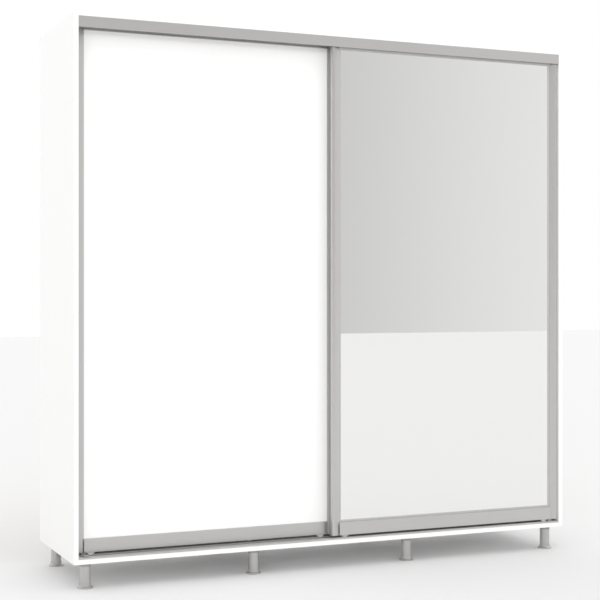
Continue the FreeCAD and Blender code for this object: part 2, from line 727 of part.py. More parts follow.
def fittings():
    """Tracks, hanging rails and legs, with the screws that hold them."""
    nodes = {}
    nodes["top_track"], screws, channels = top_track()
    nodes["bottom_track"], more = bottom_track()
    screws += more
    nodes["door_stops"] = door_stops()
    sockets = []
    for bay in ("middle", "right"):
        nodes["hanging_rail_" + bay] = hanging_rail(bay)
        for x, sign in zip(bays[bay], (1, -1)):
            socket, socket_screws = rail_socket(x, sign)
            sockets.append(socket)
            screws += socket_screws
    nodes["rail_sockets"] = sockets
    nodes["track_screws"] = screws
    legs = leg_places()
    nodes["leg_plates"] = [leg_plate(p) for p in legs.values()]
    nodes["leg_tubes"] = [leg_tube(p) for p in legs.values()]
    nodes["leg_screws"] = [wood_screw(s, Z) for p in legs.values() for s in leg_screw_places(p)]
    for place, centre in legs.items():
        nodes["foot_" + place] = levelling_foot(centre)
    return nodes, channels


def save(nodes):
    os.makedirs("parts", exist_ok=True)
    for name, shape in nodes.items():
        solids = shape if isinstance(shape, list) else [shape]
        solids = [solid for item in solids for solid in item.Solids]
        whole = solids[0] if len(solids) == 1 else Part.makeCompound(solids)
        if not whole.isValid():
            raise RuntimeError("bad solid in " + name)
        whole.exportStep(f"parts/{name}.step")
        print(name, len(solids), "solids", round(whole.Volume / 1000, 1), "cm3")


def main():
    nodes = carcass()
    more, channels = fittings()
    nodes.update(more)
    left_edge = -x_in + door_end_gap
    right_edge = x_in - door_end_gap - door_wide
    nodes.update(door("door_left", left_edge, rear_door_y, channels[1], board_infill))
    nodes.update(door("door_right", right_edge, front_door_y, channels[0], mirror_infill))
    save(nodes)
    print(len(nodes), "nodes; door travel", door_travel, "wheel height", wheel_z)


main()
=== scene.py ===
"""Finishes of the sliding door wardrobe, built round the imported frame, in metres."""
import math

import bmesh
import bpy
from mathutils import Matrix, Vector


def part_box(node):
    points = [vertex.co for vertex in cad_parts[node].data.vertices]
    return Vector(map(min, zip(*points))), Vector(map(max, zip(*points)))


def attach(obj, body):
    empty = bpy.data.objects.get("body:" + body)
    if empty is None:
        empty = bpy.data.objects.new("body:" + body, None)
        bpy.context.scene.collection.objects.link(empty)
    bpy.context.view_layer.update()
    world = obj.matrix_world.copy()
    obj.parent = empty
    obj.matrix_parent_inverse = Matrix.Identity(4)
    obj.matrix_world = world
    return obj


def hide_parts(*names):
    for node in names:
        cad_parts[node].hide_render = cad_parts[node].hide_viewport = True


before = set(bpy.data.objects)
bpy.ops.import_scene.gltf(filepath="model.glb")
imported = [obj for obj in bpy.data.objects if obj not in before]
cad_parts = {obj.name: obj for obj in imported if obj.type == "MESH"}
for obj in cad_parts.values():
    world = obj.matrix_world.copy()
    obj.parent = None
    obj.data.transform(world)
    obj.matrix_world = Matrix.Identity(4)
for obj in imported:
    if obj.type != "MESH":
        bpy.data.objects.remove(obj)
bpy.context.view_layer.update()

MM = 0.001

# Door frame sections: across the door from its edge, and from the nose of the stile back
STILE_WIDE, DOOR_DEPTH, WALL = 35 * MM, 30 * MM, 1.6 * MM
NOSE_WIDE, NOSE_OUTER, NOSE_INNER = 12 * MM, 7 * MM, 3 * MM
SCOOP_ACROSS, SCOOP_DEEP, SCOOP_ROUND = 22 * MM, 6 * MM, 25 * MM
GROOVE_FRONT, GROOVE_GAP, GROOVE_DEEP = 11.1 * MM, 10.4 * MM, 8 * MM
BRUSH_FRONT, BRUSH_REAR, BRUSH_DEEP = 20 * MM, 27 * MM, 2.4 * MM
RAIL_FRONT, RAIL_REAR = 4 * MM, 28.6 * MM
STILE_ROUND, LIP_ROUND = 1.0 * MM, 0.5 * MM
RAIL_NOSE_ROUND, RAIL_WALL_ROUND = 0.8 * MM, 0.6 * MM
GASKET_LIP_INSET, GASKET_CHAMFER, GASKET_STEPS = 16.7 * MM, 2.8 * MM, 4

# Tracks
TRACK_WALL, FASCIA_THICK, FASCIA_LAP = 1.5 * MM, 2 * MM, 5 * MM
FASCIA_LOW_ROUND, FASCIA_TOP_ROUND, FASCIA_INNER_ROUND = 1.2 * MM, 0.6 * MM, 0.7 * MM
MIDDLE_WALL_UP, TRACK_PITCH = 5 * MM, 45 * MM
RIB_HALF, HAIR = 2 * MM, 0.01 * MM

# Boards, sheets and bores
BAND = 1 * MM
BORE_SLACK, BORE_PLAY, BORE_PAST, BORE_SIDES = 0.3 * MM, 0.1 * MM, 1 * MM, 40
SHEET_FRONT, MIRROR_FRONT = 1.5 * MM, 2 * MM
BOARD_EDGE, SHEET_EDGE, PANEL_EDGE, MIRROR_EDGE = 0.5 * MM, 0.4 * MM, 0.4 * MM, 0.8 * MM
EDGE_STEPS = 2

# Modelling: how near two points count as one, how fine roundings are cut, seed size, shading angles
SAME_POINT, SAME_PLANE, WELD = 2e-5, 1e-5, 1e-6
FINE_STEPS, ROUND_STEPS = 2, 8
SEED_SIZE = 0.01
EDGE_ANGLE, BOARD_ANGLE, PROFILE_ANGLE, GASKET_ANGLE = 40, 50, 30, 35

# Studio
FLOOR_SIZE, FLOOR_WHITE, WALL_BEHIND = 60, (0.82, 0.82, 0.82), 1.0
WALL_LEFT, WALL_RIGHT, CEILING = 0.54, 0.88, 0.84
SIDE_FROM, SIDE_TO = 0.30, 0.62
CEILING_FROM, CEILING_TO = 0.3, 0.95
BEHIND_FROM, BEHIND_TO = -0.1, 0.3
FRONT_LIGHT, SIDE_LIGHT, LAMP_SPREAD = 2.25, 0.28, 50
FRONT_TOWARD, SIDE_TOWARD = (0.42, 0.90, 0.0), (0.95, 0.25, -0.12)

# Camera
EYE, TURN = (-2.382, -5.393, 1.131), 23.47
SENSOR, LENS, SHIFT_UP = 36, 82.2, -0.011


# ------------------------------------------------------------------ modelling helpers
def clear():
    """Object mode, with nothing selected."""
    if bpy.context.object and bpy.context.object.mode != "OBJECT":
        bpy.ops.object.mode_set(mode="OBJECT")
    bpy.ops.object.select_all(action="DESELECT")


def choose(piece):
    clear()
    piece.select_set(True)
    bpy.context.view_layer.objects.active = piece


def named(name):
    """Names the primitive that was just added and puts its place into its mesh."""
    piece = bpy.context.object
    piece.name = piece.data.name = name
    bpy.ops.object.transform_apply(location=True, rotation=True, scale=True)
    return piece


def block(name, low, high):
    clear()
    low, high = Vector(low), Vector(high)
    bpy.ops.mesh.primitive_cube_add(size=1, location=(low + high) / 2, scale=high - low)
    return named(name)


def edit(piece):
    choose(piece)
    bpy.ops.object.mode_set(mode="EDIT")


def pick(piece, kind, test):
    """In edit mode, selects just the vertices, edges or faces that pass the test."""
    bpy.ops.mesh.select_mode(type=kind)
    bpy.ops.mesh.select_all(action="DESELECT")
    shape = bmesh.from_edit_mesh(piece.data)
    found = {"VERT": shape.verts, "EDGE": shape.edges, "FACE": shape.faces}[kind]
    for item in found:
        if test(item):
            item.select_set(True)
    shape.select_flush_mode()
    bmesh.update_edit_mesh(piece.data)


def middle(edge):
    return (edge.verts[0].co + edge.verts[1].co) / 2


def near(a, b):
    return (Vector(a) - Vector(b)).length < SAME_POINT


def draw_loop(piece, points):
    """Extrudes one point into a closed loop of edges."""
    count = len(points)
    for here, there in zip(points, points[1:]):
        bpy.ops.mesh.extrude_vertices_move(TRANSFORM_OT_translate={"value": there - here})
    total = len(bmesh.from_edit_mesh(piece.data).verts)
    pick(piece, "VERT", lambda v: v.index in (total - count, total - 1))
    bpy.ops.mesh.edge_face_add()


def bar(name, loops, place, run):
    """An extruded section: closed loops of (a, b, radius), placed as points and run along a vector."""
    clear()
    bpy.context.tool_settings.mesh_select_mode = (True, False, False)
    piece = None
    for loop in loops:
        points = [place(a, b) for a, b, radius in loop]
        if piece is None:
            bpy.ops.mesh.primitive_plane_add(size=SEED_SIZE, location=points[0])
            piece = named(name)
            bpy.ops.object.mode_set(mode="EDIT")
        else:
            bpy.ops.mesh.select_all(action="DESELECT")
            bpy.ops.mesh.primitive_plane_add(size=SEED_SIZE, location=points[0])
        bpy.ops.mesh.merge(type="CENTER")
        draw_loop(piece, points)
    bpy.ops.mesh.select_mode(type="EDGE")
    bpy.ops.mesh.select_all(action="SELECT")
    bpy.ops.mesh.fill()
    bpy.ops.mesh.select_all(action="SELECT")
    bpy.ops.mesh.extrude_region_move(TRANSFORM_OT_translate={"value": run})
    bpy.ops.mesh.select_all(action="SELECT")
    bpy.ops.mesh.normals_make_consistent(inside=False)
    round_corners(piece, loops, place, run)
    bpy.ops.object.mode_set(mode="OBJECT")
    return piece


def round_corners(piece, loops, place, run):
    """Bevels the long edges of a bar by the radius that its section gives each corner."""
    corners = [(place(a, b) + run / 2, radius) for loop in loops for a, b, radius in loop if radius]
    for size in sorted({radius for centre, radius in corners}, reverse=True):
        centres = [centre for centre, radius in corners if radius == size]
        pick(piece, "EDGE", lambda e: any(near(middle(e), c) for c in centres))
        steps = FINE_STEPS if size < MM else ROUND_STEPS
        bpy.ops.mesh.bevel(offset=size, segments=steps, affect="EDGES", clamp_overlap=False)


def soften(piece, width, angle=EDGE_ANGLE):
    """Rounds every sharp edge a little with a bevel that is applied, then shades by angle."""
    choose(piece)
    bevel = piece.modifiers.new("edge", "BEVEL")
    bevel.width, bevel.segments = width, EDGE_STEPS
    bevel.limit_method, bevel.angle_limit = "ANGLE", math.radians(angle)
    bevel.use_clamp_overlap = True
    bpy.ops.object.modifier_apply(modifier=bevel.name)
    shade(piece, angle)


def shade(piece, angle):
    """Smooth rounded corners, while the broad faces beside them keep their own flat direction."""
    choose(piece)
    bpy.ops.object.shade_smooth_by_angle(angle=math.radians(angle))
    flat = piece.modifiers.new("flat faces", "WEIGHTED_NORMAL")
    flat.keep_sharp = True
    bpy.ops.object.modifier_apply(modifier=flat.name)


def solids(node):
    """The box of each separate solid of a CAD node, lowest x, y and z first."""
    shape = bmesh.new()
    shape.from_mesh(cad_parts[node].data)
    bmesh.ops.remove_doubles(shape, verts=shape.verts, dist=WELD)
    left, boxes = set(shape.verts), []
    while left:
        island, edge = set(), [left.pop()]
        while edge:
            vert = edge.pop()
            island.add(vert)
            for link in vert.link_edges:
                other = link.other_vert(vert)
                if other in left:
                    left.discard(other)
                    edge.append(other)
        spans = [[v.co[i] for v in island] for i in range(3)]
        boxes.append((Vector([min(s) for s in spans]), Vector([max(s) for s in spans])))
    shape.free()
    return sorted(boxes, key=lambda b: tuple(round(c, 4) for c in b[0]))


def centre_of(bounds):
    return (bounds[0] + bounds[1]) / 2


def wear(piece, material, body, slot, *nodes):
    """Gives a finished piece its material and its body, and hides the CAD nodes it stands for. The slot is
    not used.
    """
    piece.data.materials.clear()
    piece.data.materials.append(material)
    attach(piece, body)
    if nodes:
        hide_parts(*nodes)


# ------------------------------------------------------------------ shader groups
def group_sockets(name, inputs, outputs):
    tree = bpy.data.node_groups.new(name, "ShaderNodeTree")
    for label, kind, value in inputs:
        socket = tree.interface.new_socket(label, in_out="INPUT", socket_type="NodeSocket" + kind)
        if value is not None:
            socket.default_value = value
    for label, kind in outputs:
        tree.interface.new_socket(label, in_out="OUTPUT", socket_type="NodeSocket" + kind)
    return tree, tree.nodes.new("NodeGroupInput"), tree.nodes.new("NodeGroupOutput")


def add_node(tree, kind, links=(), **settings):
    """A node with its settings; links are (input name or number, source socket or value)."""
    node = tree.nodes.new("ShaderNode" + kind)
    for key, value in settings.items():
        setattr(node, key, value)
    for label, source in links:
        if isinstance(source, bpy.types.NodeSocket):
            tree.links.new(source, node.inputs[label])
        else:
            node.inputs[label].default_value = source
    return node


def make_grain():
    """Fine surface grain: a colour that varies a little, a roughness that varies, and a bump."""
    tree, gin, gout = group_sockets(
        "surface_grain",
        [("Vector", "Vector", None), ("Colour", "Color", (0.8, 0.8, 0.8, 1)), ("Size", "Float", 0.001),
         ("Tone Change", "Float", 0.02), ("Roughness Low", "Float", 0.4),
         ("Roughness High", "Float", 0.5), ("Bump", "Float", 0.1), ("Bump Depth", "Float", 0.0001)],
        [("Colour", "Color"), ("Roughness", "Float"), ("Normal", "Vector")])
    scale = add_node(tree, "Math", [(0, 1.0), (1, gin.outputs["Size"])], operation="DIVIDE")
    fine = add_node(tree, "TexNoise", [("Vector", gin.outputs["Vector"]), ("Scale", scale.outputs[0]),
                                       ("Detail", 3.0), ("Roughness", 0.55)])
    cloud = add_node(tree, "TexNoise", [("Vector", gin.outputs["Vector"]), ("Scale", 2.3),
                                        ("Detail", 4.0), ("Roughness", 0.6)])
    both = add_node(tree, "Math", [(0, fine.outputs["Fac"]), (1, cloud.outputs["Fac"])],
                    operation="ADD")
    spread = add_node(tree, "MapRange", [("Value", both.outputs[0]), ("From Min", 0.7), ("From Max", 1.3)])
    centred = add_node(tree, "Math", [(0, spread.outputs[0]), (1, 0.5)], operation="SUBTRACT")
    shift = add_node(tree, "Math", [(0, centred.outputs[0]), (1, gin.outputs["Tone Change"])],
                     operation="MULTIPLY")
    bright = add_node(tree, "Math", [(0, shift.outputs[0]), (1, 1.0)], operation="ADD")
    colour = add_node(tree, "VectorMath", [(0, gin.outputs["Colour"]), ("Scale", bright.outputs[0])],
                      operation="SCALE")
    rough = add_node(tree, "MapRange", [("Value", spread.outputs[0]),
                                        ("To Min", gin.outputs["Roughness Low"]),
                                        ("To Max", gin.outputs["Roughness High"])])
    bump = add_node(tree, "Bump", [("Strength", gin.outputs["Bump"]),
                                   ("Distance", gin.outputs["Bump Depth"]),
                                   ("Height", fine.outputs["Fac"])])
    tree.links.new(colour.outputs[0], gout.inputs["Colour"])
    tree.links.new(rough.outputs[0], gout.inputs["Roughness"])
    tree.links.new(bump.outputs[0], gout.inputs["Normal"])
    return tree


def make_drawn_lines():
    """Lines left by the extrusion die: noise stretched along the length of a profile."""
    tree, gin, gout = group_sockets(
        "drawn_lines",
        [("Vector", "Vector", None), ("Colour", "Color", (0.5, 0.5, 0.5, 1)),
         ("Squeeze", "Vector", (1, 1, 1)), ("Tone Change", "Float", 0.05),
         ("Roughness Low", "Float", 0.3), ("Roughness High", "Float", 0.4), ("Bump", "Float", 0.1)],
        [("Colour", "Color"), ("Roughness", "Float"), ("Normal", "Vector")])
    stretched = add_node(tree, "VectorMath", [(0, gin.outputs["Vector"]), (1, gin.outputs["Squeeze"])],
                         operation="MULTIPLY")
    lines = add_node(tree, "TexNoise", [("Vector", stretched.outputs[0]), ("Scale", 1.0),
                                        ("Detail", 5.0), ("Roughness", 0.65)])
    cloud = add_node(tree, "TexNoise", [("Vector", gin.outputs["Vector"]), ("Scale", 3.1),
                                        ("Detail", 3.0), ("Roughness", 0.5)])
    centred = add_node(tree, "Math", [(0, lines.outputs["Fac"]), (1, 0.5)], operation="SUBTRACT")
    shift = add_node(tree, "Math", [(0, centred.outputs[0]), (1, gin.outputs["Tone Change"])],
                     operation="MULTIPLY")
    bright = add_node(tree, "Math", [(0, shift.outputs[0]), (1, 1.0)], operation="ADD")
    colour = add_node(tree, "VectorMath", [(0, gin.outputs["Colour"]), ("Scale", bright.outputs[0])],
                      operation="SCALE")
    mixed = add_node(tree, "Math", [(0, lines.outputs["Fac"]), (1, cloud.outputs["Fac"])],
                     operation="ADD")
    rough = add_node(tree, "MapRange", [("Value", mixed.outputs[0]), ("From Min", 0.7), ("From Max", 1.3),
                                        ("To Min", gin.outputs["Roughness Low"]),
                                        ("To Max", gin.outputs["Roughness High"])])
    bump = add_node(tree, "Bump", [("Strength", gin.outputs["Bump"]), ("Distance", 0.00005),
                                   ("Height", lines.outputs["Fac"])])
    tree.links.new(colour.outputs[0], gout.inputs["Colour"])
    tree.links.new(rough.outputs[0], gout.inputs["Roughness"])
    tree.links.new(bump.outputs[0], gout.inputs["Normal"])
    return tree


GRAIN, DRAWN_LINES = make_grain(), make_drawn_lines()


def surface(name, group, colour, values, **shader):
    """A material whose colour, roughness and normal come from one shader group."""
    material = bpy.data.materials.new(name)
    material.use_nodes = True
    tree = material.node_tree
    principled = tree.nodes["Principled BSDF"]
    place = tree.nodes.new("ShaderNodeTexCoord")
    part = tree.nodes.new("ShaderNodeGroup")
    part.node_tree = group
    part.inputs["Colour"].default_value = (*colour, 1)
    for label, value in values.items():
        part.inputs[label].default_value = value
    tree.links.new(place.outputs["Object"], part.inputs["Vector"])
    tree.links.new(part.outputs["Colour"], principled.inputs["Base Color"])
    tree.links.new(part.outputs["Roughness"], principled.inputs["Roughness"])
    tree.links.new(part.outputs["Normal"], principled.inputs["Normal"])
    for label, value in shader.items():
        principled.inputs[label].default_value = value
    return material


def grained(name, colour, size, low, high, tone=0.02, bump=0.15, depth=0.0001, **shader):
    values = {"Size": size, "Tone Change": tone, "Roughness Low": low, "Roughness High": high,
              "Bump": bump, "Bump Depth": depth}
    return surface(name, GRAIN, colour, values, **shader)


def drawn(name, colour, squeeze, low, high, tone=0.06, bump=0.12, metallic=1.0):
    values = {"Squeeze": squeeze, "Tone Change": tone, "Roughness Low": low, "Roughness High": high,
              "Bump": bump}
    return surface(name, DRAWN_LINES, colour, values, Metallic=metallic)


# Grained finishes: name, colour, size of the grain, roughness low and high, change of tone, bump and its
# depth. Drawn finishes: name, colour, squeeze of the lines, roughness low and high, change of tone, bump
# and share of metal.
WHITE, DOOR_WHITE = (0.86, 0.855, 0.85), (0.90, 0.90, 0.895)
SILVER, ANODISED = (0.575, 0.568, 0.561), 0.8
ALONG_X, ALONG_Z = (0.6, 900, 900), (900, 900, 0.6)

melamine = grained("white_melamine", WHITE, 0.0011, 0.34, 0.44, 0.012, 0.08)
door_face = grained("door_melamine", DOOR_WHITE, 0.0011, 0.26, 0.34, 0.010, 0.06)
edge_band = grained("white_edge_band", (0.87, 0.868, 0.865), 0.0006, 0.22, 0.30, 0.008, 0.05)
back_white = grained("white_lacquer_fibreboard", (0.80, 0.795, 0.78), 0.0025, 0.5, 0.62, 0.05, 0.2)
back_raw = grained("raw_fibreboard", (0.33, 0.21, 0.12), 0.0016, 0.72, 0.85, 0.28, 0.5, 0.0002)
stile_silver = drawn("silver_anodised_upright", SILVER, ALONG_Z, 0.30, 0.38, metallic=ANODISED)
rail_silver = drawn("silver_anodised_crosswise", SILVER, ALONG_X, 0.30, 0.38, metallic=ANODISED)
track_silver = drawn("silver_anodised_track", SILVER, ALONG_X, 0.32, 0.42, metallic=ANODISED)
silvering = grained("mirror_silvering", (0.915, 0.912, 0.907), 0.3, 0.006, 0.014, 0.004, 0.0,
                    Metallic=1.0)
mirror_back = grained("mirror_back_paint", (0.26, 0.27, 0.28), 0.002, 0.55, 0.68, 0.08, 0.3)
seal_grey = grained("grey_seal_rubber", (0.44, 0.435, 0.43), 0.0008, 0.5, 0.62, 0.05, 0.2)
pile_grey = drawn("grey_brush_pile", (0.20, 0.20, 0.20), (60, 60, 2600), 0.9, 1.0, 0.5, 0.6, 0.0)
nylon_black = grained("black_nylon", (0.018, 0.018, 0.019), 0.0009, 0.42, 0.55, 0.12, 0.25)
nylon_white = grained("white_nylon", (0.72, 0.71, 0.68), 0.0009, 0.35, 0.46, 0.04, 0.2)
leg_grey = grained("silver_grey_leg_plastic", (0.54, 0.533, 0.526), 0.0007, 0.30, 0.40, 0.05, 0.22,
                   Metallic=0.85)
# The leg plates are a real part, but their dark grey is painted shade: it stands for the shadow under the
# bottom panel at the legs' upper ends.
leg_plate_shade_grey = grained("dark_grey_plastic_painted_shade", (0.30, 0.30, 0.295), 0.0007, 0.42, 0.52, 0.08, 0.25)
zinc = grained("zinc_plated_steel", (0.60, 0.59, 0.56), 0.0006, 0.26, 0.40, 0.12, 0.3, Metallic=1.0)
cam_zinc = grained("die_cast_zinc", (0.46, 0.46, 0.455), 0.0005, 0.38, 0.52, 0.15, 0.4, Metallic=1.0)
chrome = drawn("chromed_tube", (0.74, 0.745, 0.75), ALONG_X, 0.06, 0.12, 0.02, 0.04)


# ------------------------------------------------------------------ boards
def finished_board(node):
    """A board with softened edges and a glued band along its front edge."""
    low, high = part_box(node)
    piece = block(node + "_finished", low, high)
    edit(piece)
    bpy.ops.mesh.select_all(action="SELECT")
    bpy.ops.mesh.bisect(plane_co=low + Vector((0, BAND, 0)), plane_no=(0, 1, 0))
    bpy.ops.object.mode_set(mode="OBJECT")
    cut_bores(piece, node)
    soften(piece, BOARD_EDGE, BOARD_ANGLE)
    wear(piece, melamine, "carcass", "white_board", node)
    piece.data.materials.append(edge_band)
    for face in piece.data.polygons:
        face.material_index = 1 if face.center.y < low.y + BAND else 0


def cut_bores(piece, node):
    """Bores for the cam locks that are set in this board."""
    low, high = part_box(node)
    for bounds in CAM_BOXES:
        if not all(low[i] - BORE_SLACK < bounds[0][i] and bounds[1][i] < high[i] + BORE_SLACK
                   for i in range(3)):
            continue
        size = bounds[1] - bounds[0]
        axis = min(range(3), key=lambda i: size[i])
        rotation = (0, math.pi / 2, 0) if axis == 0 else (0, 0, 0)
        clear()
        bpy.ops.mesh.primitive_cylinder_add(vertices=BORE_SIDES, radius=max(size) / 2 + BORE_PLAY,
                                            depth=size[axis] + BORE_PAST, location=centre_of(bounds),
                                            rotation=rotation)
        cutter = named("bore")
        choose(piece)
        bore = piece.modifiers.new("bore", "BOOLEAN")
        bore.operation, bore.object, bore.solver = "DIFFERENCE", cutter, "EXACT"
        bpy.ops.object.modifier_apply(modifier=bore.name)
        bpy.data.objects.remove(cutter)


def finished_back(node):
    """A thin back sheet, lacquered white inside and raw on the side towards the wall."""
    low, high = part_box(node)
    piece = block(node + "_finished", low, high)
    soften(piece, SHEET_EDGE)
    wear(piece, back_white, "carcass", "back_board", node)
    piece.data.materials.append(back_raw)
    for face in piece.data.polygons:
        face.material_index = 1 if face.center.y > low.y + SHEET_FRONT else 0


CAM_BOXES = solids("cam_locks")


def make_boards():
    for node in ("side_panel_left", "side_panel_right", "top_panel", "bottom_panel", "divider_left",
                 "divider_right", "hat_shelf_middle", "hat_shelf_right",
                 *(f"shelf_left_{i}" for i in range(1, 5))):
        finished_board(node)
    for bay in ("left", "middle", "right"):
        finished_back("back_sheet_" + bay)


# ------------------------------------------------------------------ door frames
def stile_section():
    lip_rear = GROOVE_FRONT + GROOVE_GAP
    floor, web = GROOVE_FRONT - WALL, STILE_WIDE - GROOVE_DEEP
    outer = [
        (0, DOOR_DEPTH, STILE_ROUND), (0, BRUSH_REAR, 0), (BRUSH_DEEP, BRUSH_REAR, 0),
        (BRUSH_DEEP, BRUSH_FRONT, 0), (0, BRUSH_FRONT, 0), (0, 0, NOSE_OUTER),
        (NOSE_WIDE, 0, NOSE_INNER), (SCOOP_ACROSS, SCOOP_DEEP, SCOOP_ROUND),
        (STILE_WIDE, floor, LIP_ROUND), (STILE_WIDE, GROOVE_FRONT, 0),
        (web, GROOVE_FRONT, 0), (web, lip_rear, 0),
        (STILE_WIDE, lip_rear, 0), (STILE_WIDE, lip_rear + WALL, LIP_ROUND),
        (web, lip_rear + WALL, 0), (web, DOOR_DEPTH, STILE_ROUND),
    ]
    slot_wall = BRUSH_DEEP + WALL
    chamber = [
        (slot_wall, DOOR_DEPTH - WALL, 0), (slot_wall, BRUSH_FRONT - WALL, 0),
        (WALL, BRUSH_FRONT - WALL, 0), (WALL, NOSE_OUTER, 0), (NOSE_OUTER, WALL, 0),
        (NOSE_WIDE - WALL, WALL, 0), (SCOOP_ACROSS - WALL, SCOOP_DEEP + WALL, 0),
        (web - WALL, floor - WALL / 2, 0), (web - WALL, DOOR_DEPTH - WALL, 0),
    ]
    return [outer, chamber]


def finished_stile(door, side):
    node = f"{door}_stile_{side}"
    low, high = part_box(node)
    edge, sign = (low.x, 1) if side == "left" else (high.x, -1)

    def place(u, v):
        return Vector((edge + sign * u, low.y + v, low.z))
    piece = bar(node + "_finished", stile_section(), place, Vector((0, 0, high.z - low.z)))
    shade(piece, PROFILE_ANGLE)
    wear(piece, stile_silver, door, "frame_aluminium", node)


def finished_rail(door, which):
    node = f"{door}_{which}_rail"
    low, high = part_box(node)
    nose = low.y - RAIL_FRONT
    tall = high.z - low.z
    inner, away = (low.z, 1) if which == "top" else (high.z, -1)
    lip_rear, lip = GROOVE_FRONT + GROOVE_GAP, GROOVE_FRONT - WALL
    outer = [
        (RAIL_FRONT, 0, RAIL_NOSE_ROUND), (GROOVE_FRONT, 0, LIP_ROUND), (GROOVE_FRONT, GROOVE_DEEP, 0),
        (lip_rear, GROOVE_DEEP, 0), (lip_rear, 0, 0), (lip_rear + WALL, 0, 0),
        (lip_rear + WALL, GROOVE_DEEP, 0), (RAIL_REAR, GROOVE_DEEP, 0),
        (RAIL_REAR, tall, RAIL_WALL_ROUND), (RAIL_REAR - WALL, tall, RAIL_WALL_ROUND),
        (RAIL_REAR - WALL, GROOVE_DEEP + WALL, 0), (RAIL_FRONT + WALL, GROOVE_DEEP + WALL, 0),
        (RAIL_FRONT + WALL, tall, RAIL_WALL_ROUND), (RAIL_FRONT, tall, RAIL_NOSE_ROUND),
    ]
    chamber = [(RAIL_FRONT + WALL, WALL, 0), (lip, WALL, 0), (lip, GROOVE_DEEP, 0),
               (RAIL_FRONT + WALL, GROOVE_DEEP, 0)]

    def place(v, h):
        return Vector((low.x, nose + v, inner + away * h))
    piece = bar(node + "_finished", [outer, chamber], place, Vector((high.x - low.x, 0, 0)))
    shade(piece, PROFILE_ANGLE)
    wear(piece, rail_silver, door, "frame_aluminium", node)


def finished_panel():
    node = "door_left_panel"
    piece = block(node + "_finished", *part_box(node))
    soften(piece, PANEL_EDGE)
    wear(piece, door_face, "door_left", "door_board", node)


def finished_mirror():
    """Float glass silvered in front view, with painted backing on the rear face."""
    node = "door_right_mirror"
    low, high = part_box(node)
    piece = block(node + "_finished", low, high)
    soften(piece, MIRROR_EDGE)
    wear(piece, silvering, "door_right", "mirror_glass", node)
    piece.data.materials.append(mirror_back)
    for face in piece.data.polygons:
        face.material_index = 1 if face.center.y > low.y + MIRROR_FRONT else 0


def finished_gasket():
    """A ring with a U section: a window is bridged through a plate, then its inner wall is grooved."""
    node = "door_right_gasket"
    low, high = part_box(node)
    glass_low, glass_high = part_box("door_right_mirror")
    piece = block(node + "_finished", low, high)
    edit(piece)
    pick(piece, "FACE", lambda f: abs(f.normal.y) > 0.9)
    bpy.ops.mesh.inset(thickness=GASKET_LIP_INSET, depth=0)
    bpy.ops.mesh.bridge_edge_loops()
    for y in (glass_low.y, glass_high.y):
        pick(piece, "FACE", lambda f: True)
        bpy.ops.mesh.bisect(plane_co=(0, y, 0), plane_no=(0, 1, 0))
    inside_x = (low.x + GASKET_LIP_INSET, high.x - GASKET_LIP_INSET)
    inside_z = (low.z + GASKET_LIP_INSET, high.z - GASKET_LIP_INSET)
    mid_y = (low.y + high.y) / 2

    def on_window(f):
        c = f.calc_center_median()
        beside = min(abs(c.x - x) for x in inside_x) < SAME_PLANE
        above_or_below = min(abs(c.z - z) for z in inside_z) < SAME_PLANE
        return (beside or above_or_below) and abs(c.y - mid_y) < MM
    pick(piece, "FACE", on_window)
    reach = GASKET_LIP_INSET - (glass_low.x - low.x)
    bpy.ops.mesh.extrude_region_shrink_fatten(TRANSFORM_OT_shrink_fatten={"value": -reach,
                                                                         "use_even_offset": True})
    pick(piece, "EDGE", lambda e: abs(middle(e).y - low.y) < SAME_PLANE
         and low.x + MM < middle(e).x < high.x - MM and low.z + MM < middle(e).z < high.z - MM)
    bpy.ops.mesh.bevel(offset=GASKET_CHAMFER, segments=GASKET_STEPS, affect="EDGES")
    bpy.ops.mesh.select_all(action="SELECT")
    bpy.ops.mesh.normals_make_consistent(inside=False)
    bpy.ops.object.mode_set(mode="OBJECT")
    shade(piece, GASKET_ANGLE)
    wear(piece, seal_grey, "door_right", "gasket_rubber", node)


def make_doors():
    for door in ("door_left", "door_right"):
        for side in ("left", "right"):
            finished_stile(door, side)
        for which in ("top", "bottom"):
            finished_rail(door, which)
    finished_panel()
    finished_mirror()
    finished_gasket()


# ------------------------------------------------------------------ tracks
def finished_track(node, section):
    """Runs a section of (from the front, height, radius) along the whole of a track."""
    low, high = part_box(node)

    def place(d, z):
        return Vector((low.x, low.y + d, z))
    piece = bar(node + "_finished", [section], place, Vector((high.x - low.x, 0, 0)))
    shade(piece, PROFILE_ANGLE)
    wear(piece, track_silver, "carcass", "track_aluminium", node)


def finished_top_track():
    node = "top_track"
    low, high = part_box(node)
    roof = high.z - FASCIA_LAP
    plate = roof - TRACK_WALL
    depth = high.y - low.y
    middle_front = depth - TRACK_WALL - TRACK_PITCH
    mid = low.z + MIDDLE_WALL_UP
    tip = TRACK_WALL / 2 - HAIR
    section = [
        (0, low.z, FASCIA_LOW_ROUND), (0, high.z, FASCIA_TOP_ROUND),
        (FASCIA_THICK, high.z, FASCIA_TOP_ROUND), (FASCIA_THICK, roof, 0), (depth, roof, 0),
        (depth, low.z, tip), (depth - TRACK_WALL, low.z, tip),
        (depth - TRACK_WALL, plate, 0), (middle_front + TRACK_WALL, plate, 0),
        (middle_front + TRACK_WALL, mid, tip), (middle_front, mid, tip), (middle_front, plate, 0),
        (FASCIA_THICK, plate, 0), (FASCIA_THICK, low.z, FASCIA_INNER_ROUND),
    ]
    finished_track(node, section)


